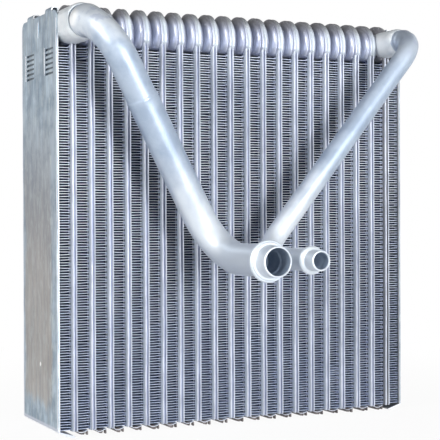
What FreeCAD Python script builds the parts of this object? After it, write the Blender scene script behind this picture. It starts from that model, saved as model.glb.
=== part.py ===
import FreeCAD, Part
import math
import os

# Evaporator core of a laminated kind: drawn plate pairs brazed into flat tubes,
# each with a front and a rear tank cup at its top, and a corrugated fin between
# each two tubes. All lengths are in mm. X runs across the core, the pipes leave
# towards -Y, and Z=0 is the surface that the bottom lips stand on.

# Tubes
tube_count = 20
tube_pitch = 11.8
tube_thick = 3.6
core_depth = 70.0
core_height = 233.0
edge_round_across = 0.5
edge_round_deep = 1.2
seam_groove_width = 1.2
seam_groove_depth = 0.7

# Tank cups on top of the tubes
cup_radius = 16.5
cup_axis_depth = 14.5
cup_rise = 10.0
cup_floor_gap = 1.7
cup_seam_drop = 4.0
cup_toe_chamfer = 4.0
cup_facets = 10

# Bottom lips, one turned out of each tube towards its right neighbour
lip_drop = 3.2
lip_sheet = 0.8
lip_reach = 7.9
lip_slope = 1.6

# Fins: one folded strip in each gap
fin_leg_rise = 10.1
fin_sheet = 0.5
fin_recess = 2.2

# End plates
plate_sheet = 0.8
plate_below_crown = 4.7
plate_corner_radius = 5.0
tab_offsets = (9.5, 46.0)
tab_width = 12.0
tab_rise = 3.0
tab_reach = 3.9
tab_hook = 1.4
rib_depth_centre = 35.4
rib_width = 2.6
rib_proud = 0.8
rib_length = 10.0
rib_top_gap = 3.2
slot_offsets = (9.7, 45.5)
slot_length = 12.1
slot_height = 1.4
slot_fall = 1.2
slot_pitch = 2.96
slot_rows = 6
slot_drop = 22.0

# Nozzles on the front cups of the first and the last tube
nozzle_rise = 2.5
suction_collar_od = 22.6
suction_collar_length = 19.0
liquid_collar_od = 18.0
liquid_collar_length = 17.0

# Pipes from the nozzles to the two spigots, which point forward
spigot_reach = 108.0
spigot_height = 104.7
suction_pipe_od = 19.0
suction_bend_radius = 27.5
suction_elbow_reach = 48.8
suction_turn_reach = 31.2
suction_spigot_x = -30.8
suction_tip_od = 18.0
suction_bead_od = 24.5
suction_bead_length = 4.2
suction_bore = 15.6
liquid_pipe_od = 13.3
liquid_bend_radius = 19.0
liquid_elbow_reach = 37.2
liquid_turn_reach = 34.4
liquid_spigot_x = -3.1
liquid_tip_od = 12.0
liquid_bead_od = 16.7
liquid_bead_length = 3.6
liquid_bore = 9.6
bead_setback = 9.4
bead_chamfer = 1.3
bore_depth = 24.0
bend_gores = 5

# Heights over the tube ends that follow from one another
cup_axis_height = core_height + cup_rise
cup_floor_height = core_height + cup_floor_gap
nozzle_height = cup_axis_height + nozzle_rise
plate_top_height = cup_axis_height + cup_radius - plate_below_crown
tab_top_height = plate_top_height + tab_rise
rib_bottom_height = plate_top_height - rib_top_gap - rib_length
slot_top_height = plate_top_height - slot_drop

# The object's box is centred over the origin from front to back
cup_proud = cup_radius - cup_axis_depth
front_y = (spigot_reach - core_depth - cup_proud) / 2
tube_bottom = lip_drop


def tube_x(number):
    """Centre of a tube, counted from 1 at the left."""
    return (number - (tube_count + 1) / 2) * tube_pitch


def point(x, depth, height):
    """A point by its depth behind the core's front and its height over the tube ends."""
    return FreeCAD.Vector(x, front_y + depth, tube_bottom + height)


def prism(points, direction):
    """Solid swept straight from a closed outline of corner points."""
    outline = Part.makePolygon(points + [points[0]])
    return Part.Face(outline).extrude(direction)


def along_depth(profile, start, length):
    """Solid with a constant X-Z profile from one depth on backwards."""
    points = [point(x, start, z) for x, z in profile]
    return prism(points, FreeCAD.Vector(0, length, 0))


def tube_body(x):
    """Flat tube up into its cups; its edges show both plates' lips and their seam."""
    half = tube_thick / 2
    groove = seam_groove_width / 2
    edge = [
        (-half, edge_round_deep),
        (-half + edge_round_across, 0),
        (-groove, 0),
        (0, seam_groove_depth),
        (groove, 0),
        (half - edge_round_across, 0),
        (half, edge_round_deep),
    ]
    front = [point(x + dx, dy, 0) for dx, dy in edge]
    rear = [point(x + dx, core_depth - dy, 0) for dx, dy in reversed(edge)]
    return prism(front + rear, FreeCAD.Vector(0, 0, cup_axis_height))


def cup_outline(x, inset):
    """Front cup seen from the side: a round top over a straight floor with a chamfered toe."""
    radius = cup_radius - inset
    nose = cup_axis_depth - radius
    corners = []
    for step in range(cup_facets + 1):
        angle = math.pi * step / cup_facets
        depth = cup_axis_depth - radius * math.cos(angle)
        corners.append(point(x, depth, cup_axis_height + radius * math.sin(angle)))
    corners += [
        point(x, cup_axis_depth + radius, cup_floor_height),
        point(x, nose + cup_toe_chamfer, cup_floor_height),
        point(x, nose, cup_floor_height + cup_toe_chamfer),
    ]
    return corners


def flat_sided(sections):
    """Solid with flat faces between outlines that have the same number of corners."""
    loops = [sections[0], sections[-1]]
    for near, far in zip(sections, sections[1:]):
        for i in range(len(near)):
            loops.append([near[i - 1], near[i], far[i], far[i - 1]])
    faces = [Part.Face(Part.makePolygon(loop + [loop[0]])) for loop in loops]
    return Part.Solid(Part.Shell(faces))


def front_cup(x):
    """Cup pair of one tube, widest at the plates' seam and drawn in to its neighbours."""
    half = tube_pitch / 2
    sections = [
        cup_outline(x - half, cup_seam_drop),
        cup_outline(x, 0),
        cup_outline(x + half, cup_seam_drop),
    ]
    return flat_sided(sections)


def rear_cup(x):
    middle = point(x, core_depth / 2, 0)
    return front_cup(x).mirror(middle, FreeCAD.Vector(0, 1, 0))


def bottom_lip(x):
    """Lip that dips under the fin and stands on the surface."""
    half = tube_thick / 2
    profile = [
        (x, 0),
        (x + half, 0),
        (x + half + lip_slope, lip_sheet - lip_drop),
        (x + lip_reach, lip_sheet - lip_drop),
        (x + lip_reach, -lip_drop),
        (x + half, -lip_drop),
        (x, -lip_sheet),
    ]
    depth = core_depth - 2 * edge_round_deep
    return along_depth(profile, edge_round_deep, depth)


def tube(number):
    x = tube_x(number)
    pieces = [front_cup(x), rear_cup(x)]
    if number < tube_count:
        pieces.append(bottom_lip(x))
    return tube_body(x).fuse(pieces).removeSplitter()


def fin(number):
    """Strip folded to and fro between two tubes, crests against both."""
    left = tube_x(number) - tube_pitch + tube_thick / 2
    width = tube_pitch - tube_thick
    legs = round(core_height / fin_leg_rise)
    rise = core_height / legs
    slant = math.atan2(rise, width - fin_sheet)
    shift = fin_sheet / math.sin(slant)
    line = []
    for fold in range(legs + 1):
        x = left if fold % 2 else left + width - shift
        line.append((x, fold * rise))
    back = [(x + shift, z) for x, z in reversed(line)]
    return along_depth(line + back, fin_recess, core_depth - 2 * fin_recess)


def plate_blank(inner_x, outward):
    """Sheet with rounded top corners, standing beside the outer fin."""
    radius = plate_corner_radius
    high = plate_top_height
    bend = radius * (1 - math.sqrt(0.5))
    front_arc = Part.Arc(
        point(inner_x, 0, high - radius),
        point(inner_x, bend, high - bend),
        point(inner_x, radius, high),
    )
    rear_arc = Part.Arc(
        point(inner_x, core_depth - radius, high),
        point(inner_x, core_depth - bend, high - bend),
        point(inner_x, core_depth, high - radius),
    )
    edges = [
        Part.makeLine(point(inner_x, 0, 0), point(inner_x, 0, high - radius)),
        front_arc.toShape(),
        Part.makeLine(point(inner_x, radius, high), point(inner_x, core_depth - radius, high)),
        rear_arc.toShape(),
        Part.makeLine(point(inner_x, core_depth, high - radius), point(inner_x, core_depth, 0)),
        Part.makeLine(point(inner_x, core_depth, 0), point(inner_x, 0, 0)),
    ]
    face = Part.Face(Part.Wire(edges))
    return face.extrude(FreeCAD.Vector(outward * plate_sheet, 0, 0))


def plate_tab(inner_x, outward, start):
    """Tab that rises from the plate and rolls over towards the cups."""
    outer = inner_x + outward * plate_sheet
    reach = inner_x - outward * tab_reach
    shoulder = outward * plate_sheet
    high = tab_top_height
    profile = [
        (outer, plate_top_height - plate_sheet),
        (outer, high - plate_sheet),
        (outer - shoulder, high),
        (reach + shoulder, high),
        (reach, high - plate_sheet),
        (reach, high - plate_sheet - tab_hook),
        (reach + shoulder, high - plate_sheet - tab_hook),
        (reach + shoulder, high - plate_sheet),
        (inner_x, high - plate_sheet),
        (inner_x, plate_top_height - plate_sheet),
    ]
    return along_depth(profile, start, tab_width)


def plate_rib(inner_x, outward):
    """Short upright stiffening bead pressed out of the plate."""
    outer = inner_x + outward * plate_sheet
    crest = outer + outward * rib_proud
    half = rib_width / 2
    profile = [
        point(outer, rib_depth_centre - half, rib_bottom_height),
        point(crest, rib_depth_centre - half / 2, rib_bottom_height),
        point(crest, rib_depth_centre + half / 2, rib_bottom_height),
        point(outer, rib_depth_centre + half, rib_bottom_height),
    ]
    return prism(profile, FreeCAD.Vector(0, 0, rib_length))


def plate_flap(inner_x, outward):
    """Lower flange that slopes down under the outer fin to the first tube."""
    outer = inner_x + outward * plate_sheet
    width = tube_pitch - tube_thick
    toe = inner_x - outward * (width + tube_thick / 2 - lip_sheet)
    profile = [
        (outer, 0),
        (inner_x, 0),
        (inner_x - outward * width, lip_sheet - lip_drop),
        (toe, lip_sheet - lip_drop),
        (toe, -lip_drop),
        (inner_x - outward * width, -lip_drop),
        (outer, -plate_sheet),
    ]
    return along_depth(profile, 0, core_depth)


def plate_slots(inner_x, outward):
    """Rows of short slots, each falling a little towards the front."""
    cuts = []
    for start in slot_offsets:
        for row in range(slot_rows):
            low = slot_top_height - row * slot_pitch - slot_height
            corners = [
                point(inner_x, start, low - slot_fall),
                point(inner_x, start + slot_length, low),
                point(inner_x, start + slot_length, low + slot_height),
                point(inner_x, start, low + slot_height - slot_fall),
            ]
            cuts.append(prism(corners, FreeCAD.Vector(outward * plate_sheet, 0, 0)))
    return cuts


def end_plate(outer_fin_x, outward):
    inner_x = outer_fin_x + outward * (tube_pitch - tube_thick) / 2
    pieces = [plate_rib(inner_x, outward), plate_flap(inner_x, outward)]
    for start in tab_offsets:
        pieces.append(plate_tab(inner_x, outward, start))
    sheet = plate_blank(inner_x, outward).fuse(pieces).removeSplitter()
    return sheet.cut(plate_slots(inner_x, outward))


def turned(x, height, profile):
    """Body turned about a line along Y, from radii and depths."""
    points = [point(x + radius, depth, height) for radius, depth in profile]
    face = Part.Face(Part.makePolygon(points + [points[0]]))
    return face.revolve(point(x, 0, height), FreeCAD.Vector(0, 1, 0), 360)


def nozzle(x, collar_od, length):
    """Stub saddled on the front cups, for a pipe to be brazed to."""
    start = point(x, -length, nozzle_height)
    backwards = FreeCAD.Vector(0, 1, 0)
    stub = Part.makeCylinder(collar_od / 2, length + cup_axis_depth, start, backwards)
    side = x - 2 * tube_pitch
    tank_length = FreeCAD.Vector(4 * tube_pitch, 0, 0)
    tank = prism(cup_outline(side, 0), tank_length)
    below = Part.makeBox(4 * tube_pitch, core_depth, cup_axis_height, point(side, -cup_proud, 0))
    plate_inner_x = tube_x(1) - tube_pitch + tube_thick / 2
    beside_corner = point(plate_inner_x - tube_pitch, 0, 0)
    beside = Part.makeBox(tube_pitch, core_depth, plate_top_height, beside_corner)
    return stub.cut([tank, below, beside])


def centre_line(points, radius):
    """Straight runs joined by bends of one radius, each bend in short equal gores."""
    line = [points[0]]
    for before, corner, after in zip(points, points[1:], points[2:]):
        inward = (before - corner).normalize()
        outward = (after - corner).normalize()
        turn = math.pi - inward.getAngle(outward)
        centre = corner + (inward + outward).normalize() * (radius / math.cos(turn / 2))
        spoke = corner + inward * (radius * math.tan(turn / 2)) - centre
        axis = spoke.cross(corner - centre)
        gore = turn / bend_gores
        spoke = spoke * (1 / math.cos(gore / 2))
        for step in range(bend_gores):
            swing = FreeCAD.Rotation(axis, math.degrees(gore * (step + 0.5)))
            line.append(centre + swing.multVec(spoke))
    line.append(points[-1])
    return Part.makePolygon(line)


def bent_pipe(points, bend_radius, pipe_od):
    """Round bar along the centre line; the refrigerant's way inside is not open to view."""
    circle = Part.makeCircle(pipe_od / 2, points[0], points[1] - points[0])
    mitred = 1
    return centre_line(points, bend_radius).makePipeShell([Part.Wire([circle])], True, False, mitred)


def spigot(x, tip_od, bead_od, bead_length):
    """Beaded end with its bead ahead of a plain sealing length."""
    back = bead_setback + bead_length - spigot_reach
    profile = [
        (0, back),
        (bead_od / 2 - bead_chamfer, back),
        (bead_od / 2, back - bead_chamfer),
        (bead_od / 2, back - bead_length + bead_chamfer),
        (bead_od / 2 - bead_chamfer, back - bead_length),
        (tip_od / 2, back - bead_length),
        (tip_od / 2, -spigot_reach),
        (0, -spigot_reach),
    ]
    return turned(x, spigot_height, profile)


def spigot_bore(x, bore):
    mouth = point(x, -spigot_reach, spigot_height)
    return Part.makeCylinder(bore / 2, bore_depth, mouth, FreeCAD.Vector(0, 1, 0))


def suction_pipe():
    x = tube_x(1)
    back = bead_setback + suction_bead_length - spigot_reach
    route = [
        point(x, -suction_collar_length, nozzle_height),
        point(x, -suction_elbow_reach, nozzle_height),
        point(suction_spigot_x, -suction_turn_reach, spigot_height),
        point(suction_spigot_x, back, spigot_height),
    ]
    pipe = bent_pipe(route, suction_bend_radius, suction_pipe_od)
    end = spigot(suction_spigot_x, suction_tip_od, suction_bead_od, suction_bead_length)
    return pipe.fuse(end).cut(spigot_bore(suction_spigot_x, suction_bore))


def liquid_pipe():
    x = tube_x(tube_count)
    back = bead_setback + liquid_bead_length - spigot_reach
    route = [
        point(x, -liquid_collar_length, nozzle_height),
        point(x, -liquid_elbow_reach, nozzle_height),
        point(liquid_spigot_x, -liquid_turn_reach, spigot_height),
        point(liquid_spigot_x, back, spigot_height),
    ]
    pipe = bent_pipe(route, liquid_bend_radius, liquid_pipe_od)
    end = spigot(liquid_spigot_x, liquid_tip_od, liquid_bead_od, liquid_bead_length)
    return pipe.fuse(end).cut(spigot_bore(liquid_spigot_x, liquid_bore))


def build():
    os.makedirs("parts", exist_ok=True)
    pieces = {}
    for number in range(1, tube_count + 1):
        pieces["tube_%02d" % number] = tube(number)
    for number in range(1, tube_count + 2):
        pieces["fin_%02d" % number] = fin(number)
    half_pitch = tube_pitch / 2
    pieces["left_end_plate"] = end_plate(tube_x(1) - half_pitch, -1)
    pieces["right_end_plate"] = end_plate(tube_x(tube_count) + half_pitch, 1)
    pieces["suction_nozzle"] = nozzle(tube_x(1), suction_collar_od, suction_collar_length)
    pieces["liquid_nozzle"] = nozzle(tube_x(tube_count), liquid_collar_od, liquid_collar_length)
    pieces["suction_pipe"] = suction_pipe()
    pieces["liquid_pipe"] = liquid_pipe()
    for name, shape in pieces.items():
        shape.exportStep("parts/%s.step" % name)


build()
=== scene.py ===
import math
import random

import bpy
from mathutils import Matrix, Vector, noise


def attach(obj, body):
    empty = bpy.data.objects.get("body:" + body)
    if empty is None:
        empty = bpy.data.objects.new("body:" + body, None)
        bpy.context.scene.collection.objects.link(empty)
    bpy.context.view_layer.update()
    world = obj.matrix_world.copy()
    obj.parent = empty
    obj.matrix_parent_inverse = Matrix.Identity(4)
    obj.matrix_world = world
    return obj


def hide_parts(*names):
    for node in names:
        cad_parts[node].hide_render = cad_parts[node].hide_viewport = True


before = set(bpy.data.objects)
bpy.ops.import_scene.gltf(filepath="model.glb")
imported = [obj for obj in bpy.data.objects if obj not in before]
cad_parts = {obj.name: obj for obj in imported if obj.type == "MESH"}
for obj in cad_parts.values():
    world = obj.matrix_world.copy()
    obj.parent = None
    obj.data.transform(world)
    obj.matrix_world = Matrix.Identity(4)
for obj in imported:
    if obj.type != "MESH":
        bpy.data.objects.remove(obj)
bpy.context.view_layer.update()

# Sizes are in mm: X across the core, depth behind its front and height over the tube ends
MM = 0.001
FRONT = 18.0
BOTTOM = 3.2

TUBES = 20
PITCH = 11.8
TUBE = 3.6
GAP = PITCH - TUBE
DEPTH = 70.0
CORE = 233.0

CUP_RADIUS = 16.5
CUP_DEPTH = 14.5
CUP_HEIGHT = CORE + 10.0
CUP_FLOOR = 233.8
TOE = 6.5

SHEET = 0.8
PLATE_TOP = CUP_HEIGHT + CUP_RADIUS - 4.7
TAB_TOP = PLATE_TOP + 3.0
CORNER = 5.0
TAB_STARTS = (9.5, 46.0)
TAB_WIDTH = 12.0
SLOT_SPANS = ((6.6, 21.8), (44.6, 60.4))
SLOT_ROWS = 6
SLOT_PITCH = 2.96
SLOT_HEIGHT = 1.4
SLOT_TOP = PLATE_TOP - 22.0
RIB_DEPTH = 35.4

NOZZLE_HEIGHT = CUP_HEIGHT + 2.5
SPIGOT_HEIGHT = 104.7
SUCTION_X = -30.8
LIQUID_X = -3.1
MOUTH = -108.0


def tube_x(number):
    return (number - (TUBES + 1) / 2) * PITCH


LEFT_PLATE_X = tube_x(1) - PITCH + TUBE / 2


def place(x, depth, height):
    """Metres in the row frame, from mm across, behind the core's front and over the tube ends."""
    return Vector((x * MM, (FRONT + depth) * MM, (BOTTOM + height) * MM))


def wobble(x, y, z, size):
    """Smooth noise between about -1 and 1, with bumps of the given size."""
    return noise.noise(Vector((x / size, y / size, z / size))) * 1.6


# Mesh helpers


def piece(name, skin, materials, stands_for, sharp):
    """Dressed piece that replaces nodes, smooth up to the sharp angle in degrees."""
    mesh = bpy.data.meshes.new(name)
    mesh.from_pydata([place(*v) for v in skin.verts], [], skin.faces)
    for material in materials:
        mesh.materials.append(material)
    mesh.polygons.foreach_set("material_index", skin.marks)
    mesh.validate()
    mesh.update()
    mesh.shade_smooth()
    mesh.set_sharp_from_angle(angle=math.radians(sharp))
    obj = bpy.data.objects.new(name, mesh)
    bpy.context.scene.collection.objects.link(obj)
    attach(obj, "root")
    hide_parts(*stands_for)


class Skin:
    """Collects closed skins made of rows of points, to become one mesh."""

    def __init__(self):
        self.verts = []
        self.faces = []
        self.marks = []

    def face(self, corners, mark=0):
        self.faces.append(tuple(corners))
        self.marks.append(mark)

    def add(self, rows, mark=0, cap=None, ring=False):
        """Quads between closed rows, with capped ends, or a ring of rows without ends.

        The mark is the number of a material, or a function that gives it by row and step.
        """
        start = len(self.verts)
        n = len(rows[0])
        for row in rows:
            self.verts.extend(row)
        count = len(rows)
        for i in range(count if ring else count - 1):
            a = start + i * n
            b = start + (i + 1) % count * n
            for j in range(n):
                k = (j + 1) % n
                self.face((a + j, a + k, b + k, b + j), mark(i, j) if callable(mark) else mark)
        if not ring:
            end = cap if cap is not None else (0 if callable(mark) else mark)
            self.face([start + j for j in reversed(range(n))], end)
            self.face([start + (count - 1) * n + j for j in range(n)], end)


# Shader helpers


def group(name, inputs, outputs):
    tree = bpy.data.node_groups.new(name, "ShaderNodeTree")
    for label, kind, value in inputs:
        socket = tree.interface.new_socket(label, in_out="INPUT", socket_type=kind)
        if value is not None:
            socket.default_value = value
    for label, kind in outputs:
        tree.interface.new_socket(label, in_out="OUTPUT", socket_type=kind)
    return tree, tree.nodes.new("NodeGroupInput"), tree.nodes.new("NodeGroupOutput")


def math_node(tree, kind, *values, clamp=False):
    node = tree.nodes.new("ShaderNodeMath")
    node.operation = kind
    node.use_clamp = clamp
    for socket, value in zip(node.inputs, values):
        if isinstance(value, (int, float)):
            socket.default_value = value
        else:
            tree.links.new(value, socket)
    return node.outputs[0]


def plus(tree, a, b):
    return math_node(tree, "ADD", a, b)


def times(tree, a, b):
    return math_node(tree, "MULTIPLY", a, b)


def larger(tree, a, b):
    return math_node(tree, "MAXIMUM", a, b)


def scaled(tree, value, factor, base):
    """The value times a factor, added to a base."""
    return math_node(tree, "MULTIPLY_ADD", value, factor, base)


def swing(tree, cloud, amount):
    """Noise moved to lie round zero, times an amount."""
    return times(tree, math_node(tree, "SUBTRACT", cloud, 0.5), amount)


def mix_color(tree, factor, a, b):
    node = tree.nodes.new("ShaderNodeMix")
    node.data_type = "RGBA"
    for socket, value in zip((node.inputs[0], node.inputs[6], node.inputs[7]), (factor, a, b)):
        if isinstance(value, (int, float)):
            socket.default_value = value
        elif isinstance(value, tuple):
            socket.default_value = (*value, 1.0)
        else:
            tree.links.new(value, socket)
    return node.outputs[2]


def noise_node(tree, vector, scale, detail=3.0, rough=0.55):
    node = tree.nodes.new("ShaderNodeTexNoise")
    node.inputs["Detail"].default_value = detail
    node.inputs["Roughness"].default_value = rough
    tree.links.new(vector, node.inputs["Vector"])
    if isinstance(scale, (int, float)):
        node.inputs["Scale"].default_value = scale
    else:
        tree.links.new(scale, node.inputs["Scale"])
    return node.outputs["Fac"]


def stretched_noise(tree, vector, factors, detail, rough):
    """Noise with a scale of its own along each axis."""
    node = tree.nodes.new("ShaderNodeVectorMath")
    node.operation = "MULTIPLY"
    tree.links.new(vector, node.inputs[0])
    node.inputs[1].default_value = factors
    return noise_node(tree, node.outputs[0], 1.0, detail, rough)


def distance_to(tree, vector, spot):
    node = tree.nodes.new("ShaderNodeVectorMath")
    node.operation = "DISTANCE"
    tree.links.new(vector, node.inputs[0])
    node.inputs[1].default_value = spot
    return node.outputs["Value"]


def ramp(tree, value, low, high):
    """Soft step from 0 at low to 1 at high; a low above the high makes it fall."""
    node = tree.nodes.new("ShaderNodeMapRange")
    node.interpolation_type = "SMOOTHSTEP"
    tree.links.new(value, node.inputs["Value"])
    node.inputs["From Min"].default_value = low
    node.inputs["From Max"].default_value = high
    return node.outputs["Result"]


def between(tree, value, rise, fall):
    """A rising soft step times a falling one."""
    return times(tree, ramp(tree, value, *rise), ramp(tree, value, *fall))


def blotch_group():
    """Cloudy tone changes, with fine grain on top."""
    inputs = [
        ("Vector", "NodeSocketVector", None),
        ("Scale", "NodeSocketFloat", 60.0),
        ("Low", "NodeSocketColor", None),
        ("High", "NodeSocketColor", None),
        ("Grain", "NodeSocketFloat", 0.1),
    ]
    outputs = [("Color", "NodeSocketColor"), ("Mask", "NodeSocketFloat"), ("Height", "NodeSocketFloat")]
    tree, inside, outside = group("blotches", inputs, outputs)
    vector = inside.outputs["Vector"]
    cloud = noise_node(tree, vector, inside.outputs["Scale"], 4.0, 0.6)
    mask = ramp(tree, cloud, 0.35, 0.65)
    grain = noise_node(tree, vector, 1400.0, 2.0)
    factor = math_node(tree, "ADD", mask, swing(tree, grain, inside.outputs["Grain"]), clamp=True)
    color = mix_color(tree, factor, inside.outputs["Low"], inside.outputs["High"])
    tree.links.new(color, outside.inputs["Color"])
    tree.links.new(mask, outside.inputs["Mask"])
    tree.links.new(grain, outside.inputs["Height"])
    return tree


def streak_group():
    """Long marks of rolling along the height, in two widths."""
    inputs = [("Vector", "NodeSocketVector", None)]
    outputs = [("Mask", "NodeSocketFloat"), ("Height", "NodeSocketFloat")]
    tree, inside, outside = group("upright_streaks", inputs, outputs)
    vector = inside.outputs["Vector"]
    wide = stretched_noise(tree, vector, (260.0, 260.0, 22.0), 3.0, 0.6)
    fine = stretched_noise(tree, vector, (1100.0, 1100.0, 60.0), 2.0, 0.6)
    both = plus(tree, times(tree, wide, 0.62), times(tree, fine, 0.38))
    tree.links.new(ramp(tree, both, 0.36, 0.64), outside.inputs["Mask"])
    tree.links.new(both, outside.inputs["Height"])
    return tree


BLOTCHES = blotch_group()
STREAKS = streak_group()


def use_group(tree, shared, vector, **values):
    node = tree.nodes.new("ShaderNodeGroup")
    node.node_tree = shared
    tree.links.new(vector, node.inputs["Vector"])
    for label, value in values.items():
        node.inputs[label].default_value = (*value, 1.0) if isinstance(value, tuple) else value
    return node


def axis_of(tree, vector, axis):
    node = tree.nodes.new("ShaderNodeSeparateXYZ")
    tree.links.new(vector, node.inputs[0])
    return node.outputs[axis]


# Materials

BUMP_DEPTH = 0.0002
ROUGHNESS_SWING = 0.1


def start_material(name, metallic):
    material = bpy.data.materials.new(name)
    material.use_nodes = True
    tree = material.node_tree
    shader = tree.nodes["Principled BSDF"]
    shader.inputs["Metallic"].default_value = metallic
    vector = tree.nodes.new("ShaderNodeTexCoord").outputs["Object"]
    return material, tree, shader, vector


def finish_surface(tree, shader, color, mask, height, roughness, bump):
    """Links colour, a roughness that follows the mask, and a fine bump."""
    bumped = tree.nodes.new("ShaderNodeBump")
    bumped.inputs["Strength"].default_value = bump
    bumped.inputs["Distance"].default_value = BUMP_DEPTH
    tree.links.new(height, bumped.inputs["Height"])
    tree.links.new(bumped.outputs["Normal"], shader.inputs["Normal"])
    tree.links.new(color, shader.inputs["Base Color"])
    rough = scaled(tree, mask, ROUGHNESS_SWING, roughness - ROUGHNESS_SWING / 2)
    tree.links.new(rough, shader.inputs["Roughness"])


def aluminium(
    name, low, high, roughness, scale=60.0, grain=0.2, bump=0.1, metallic=1.0, tone_or_painted_light=None, shine=0.5,
):
    """Blotched metal between two tones, with a tone or painted light and shade that may recolour places.
    """
    material, tree, shader, vector = start_material(name, metallic)
    shader.inputs["Specular IOR Level"].default_value = shine
    blotch = use_group(tree, BLOTCHES, vector, Scale=scale, Low=low, High=high, Grain=grain)
    color = blotch.outputs["Color"]
    if tone_or_painted_light:
        color = tone_or_painted_light(tree, vector, color)
    finish_surface(tree, shader, color, blotch.outputs["Mask"], blotch.outputs["Height"], roughness, bump)
    return material


# Stains, tones, painted light and painted shade, with their places in metres

# Painted shade tone for the cups' crowns
CROWN_SHADE_TONE = (0.25, 0.245, 0.255)
# Paler painted light for the elbows and the lower bend
PALE_PAINTED_LIGHT = (0.76, 0.81, 0.86)
BLUE_SPOTS = (0.42, 0.48, 0.62)
# Painted white highlight beside the suction collar, and its place
WHITE_PAINTED_HIGHLIGHT = (0.95, 0.97, 0.98)
HIGHLIGHT_PLACE = (-0.1222, -0.0068, 0.2495)
SLATE_TONE = (0.09, 0.17, 0.38)
STREAK_TONE = (0.19, 0.22, 0.27)
MIDDLE_TONE = (0.17, 0.18, 0.22)
BRAZE_TONE = (0.52, 0.58, 0.58)
BORDER_HIGHLIGHT_TONE = (0.66, 0.67, 0.76)
SPECK_TONE = (0.95, 0.95, 0.93)
SPECK_PLACE = (-0.1237, 0.0525, 0.041)


def crown_painted_shade(tree, vector, color):
    """Painted shade: brown-grey darkening on the crowns' tops and on the last cup at the right, beside the
    collar.
    """
    patch = swing(tree, noise_node(tree, vector, 160.0), 0.006)
    high = ramp(tree, plus(tree, axis_of(tree, vector, "Z"), patch), 0.2515, 0.2615)
    last = ramp(tree, axis_of(tree, vector, "X"), 0.1045, 0.1065)
    amount = larger(tree, times(tree, high, 0.85), times(tree, last, 0.8))
    return mix_color(tree, amount, color, CROWN_SHADE_TONE)


def elbow_painted_light(tree, vector, color):
    """Painted light on the pipes: a paler tone on the elbows' tops and the lower bend, blue-grey spots on
    the tops, and a painted white highlight beside the thick collar.
    """
    patch = swing(tree, noise_node(tree, vector, 70.0), 0.05)
    height = plus(tree, axis_of(tree, vector, "Z"), patch)
    left = ramp(tree, axis_of(tree, vector, "X"), -0.02, -0.05)
    high = times(tree, ramp(tree, height, 0.222, 0.252), larger(tree, left, 0.35))
    low = times(tree, ramp(tree, height, 0.175, 0.125), 0.95)
    color = mix_color(tree, times(tree, larger(tree, high, low), 0.8), color, PALE_PAINTED_LIGHT)
    cloud = ramp(tree, noise_node(tree, vector, 130.0), 0.52, 0.62)
    spots = times(tree, cloud, ramp(tree, height, 0.235, 0.25))
    color = mix_color(tree, times(tree, spots, 0.55), color, BLUE_SPOTS)
    # Painted highlight: a white spot on the suction elbow's flank next to its collar
    fillet = ramp(tree, distance_to(tree, vector, HIGHLIGHT_PLACE), 0.0075, 0.0035)
    return mix_color(tree, fillet, color, WHITE_PAINTED_HIGHLIGHT)


def slate_foot(tree, vector, color):
    """Darker slate tone towards the foot of the fins."""
    low = times(tree, ramp(tree, axis_of(tree, vector, "Z"), 0.17, 0.03), 0.33)
    return mix_color(tree, low, color, SLATE_TONE)


def plate_aluminium():
    """Rolled plate: tan oxide in the middle, blue-grey margins, streaks, braze marks and a painted
    highlight along its rear and bottom edges.
    """
    material, tree, shader, vector = start_material("plate_metal", 0.4)
    back = axis_of(tree, vector, "Y")
    up = axis_of(tree, vector, "Z")
    ragged = math_node(tree, "SUBTRACT", stretched_noise(tree, vector, (90.0, 90.0, 30.0), 4.0, 0.6), 0.5)
    depth = scaled(tree, ragged, 0.012, back)
    height = scaled(tree, ragged, 0.025, up)
    sides = between(tree, depth, (0.027, 0.033), (0.086, 0.081))
    ends = between(tree, height, (0.012, 0.022), (0.215, 0.10))
    margin = use_group(
        tree, BLOTCHES, vector, Scale=60.0, Low=(0.23, 0.32, 0.41), High=(0.49, 0.60, 0.69), Grain=0.5,
    )
    inner = use_group(
        tree, BLOTCHES, vector, Scale=28.0, Low=(0.33, 0.305, 0.28), High=(0.41, 0.385, 0.36), Grain=0.3,
    )
    tan = times(tree, sides, ends)
    color = mix_color(tree, tan, margin.outputs["Color"], inner.outputs["Color"])
    streak = use_group(tree, STREAKS, vector)
    upper = scaled(tree, ramp(tree, height, 0.19, 0.23), 0.3, 0.4)
    color = mix_color(tree, times(tree, streak.outputs["Mask"], upper), color, STREAK_TONE)
    middle = between(tree, height, (0.07, 0.13), (0.215, 0.17))
    color = mix_color(tree, times(tree, middle, 0.3), color, MIDDLE_TONE)
    braze = stretched_noise(tree, vector, (260.0, 260.0, 80.0), 4.0, 0.7)
    band = scaled(tree, between(tree, depth, (0.025, 0.028), (0.037, 0.031)), 0.7, 0.5)
    marks = times(tree, ramp(tree, braze, 0.48, 0.62), band)
    color = mix_color(tree, times(tree, marks, 0.6), color, BRAZE_TONE)
    # Painted highlight: pale lavender along the rear and bottom edges
    edge_glint = larger(tree, ramp(tree, back, 0.0860, 0.0872), ramp(tree, up, 0.0058, 0.0046))
    color = mix_color(tree, times(tree, edge_glint, 0.65), color, BORDER_HIGHLIGHT_TONE)
    speck = ramp(tree, distance_to(tree, vector, SPECK_PLACE), 0.0019, 0.0012)
    color = mix_color(tree, speck, color, SPECK_TONE)
    relief = plus(tree, streak.outputs["Height"], braze)
    finish_surface(tree, shader, color, streak.outputs["Mask"], relief, 0.45, 0.3)
    return material


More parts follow.
